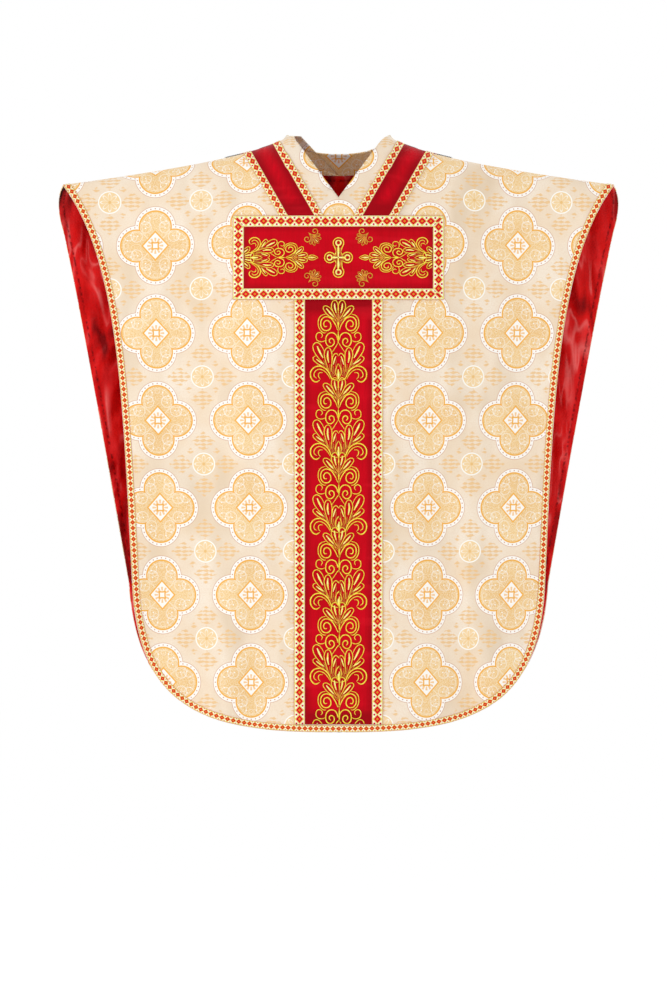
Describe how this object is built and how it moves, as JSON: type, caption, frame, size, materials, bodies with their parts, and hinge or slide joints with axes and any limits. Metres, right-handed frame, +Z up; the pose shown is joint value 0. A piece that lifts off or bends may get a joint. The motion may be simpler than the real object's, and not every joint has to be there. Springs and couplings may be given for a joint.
{
  "type": "chasuble",
  "caption": "Gothic chasuble: an open-sided church vestment of figured cream damask with a V neck, red satin lining and a Y-shaped red orphrey with gold braid and goldwork.",
  "frame": {"origin": "middle of the neck opening, at the height where the shoulder seam meets the neck", "axes": "+Z up, the wearer looks along -Y, +X is the wearer's left"},
  "size_m": [1.18, 0.2784, 1.2555],
  "materials": {
    "damask": "cream figured silk-like damask with gold and white motifs, soft sheen",
    "lining_satin": "red satin, glossy and creased",
    "orphrey_satin": "crimson satin, soft sheen",
    "braid": "woven gold and orange-red braid with a diamond pattern",
    "goldwork": "raised gold thread couching, metallic sheen"
  },
  "bodies": {
    "root": {"back_bar_braid_bottom": "braid", "back_bar_braid_left": "braid", "back_bar_braid_right": "braid", "back_bar_braid_top": "braid", "back_bar_satin": "orphrey_satin", "back_bar_scroll_left": "goldwork", "back_bar_scroll_right": "goldwork", "back_column_braid_left": "braid", "back_column_braid_right": "braid", "back_column_goldwork": "goldwork", "back_column_satin": "orphrey_satin", "back_cross_emblem": "goldwork", "back_damask": "damask", "back_edge_braid": "braid", "back_lining": "lining_satin", "back_neck_facing": "damask", "back_sprig_lower_left": "goldwork", "back_sprig_lower_right": "goldwork", "back_sprig_upper_left": "goldwork", "back_sprig_upper_right": "goldwork", "back_strap_inner_braid_left": "braid", "back_strap_inner_braid_right": "braid", "back_strap_outer_braid_left": "braid", "back_strap_outer_braid_right": "braid", "back_strap_satin_left": "orphrey_satin", "back_strap_satin_right": "orphrey_satin", "front_bar_braid_bottom": "braid", "front_bar_braid_left": "braid", "front_bar_braid_right": "braid", "front_bar_braid_top": "braid", "front_bar_satin": "orphrey_satin", "front_bar_scroll_left": "goldwork", "front_bar_scroll_right": "goldwork", "front_column_braid_left": "braid", "front_column_braid_right": "braid", "front_column_goldwork": "goldwork", "front_column_satin": "orphrey_satin", "front_cross_emblem": "goldwork", "front_damask": "damask", "front_edge_braid": "braid", "front_lining": "lining_satin", "front_neck_facing": "damask", "front_sprig_lower_left": "goldwork", "front_sprig_lower_right": "goldwork", "front_sprig_upper_left": "goldwork", "front_sprig_upper_right": "goldwork", "front_strap_inner_braid_left": "braid", "front_strap_inner_braid_right": "braid", "front_strap_outer_braid_left": "braid", "front_strap_outer_braid_right": "braid", "front_strap_satin_left": "orphrey_satin", "front_strap_satin_right": "orphrey_satin"}
  },
  "joints": []
}
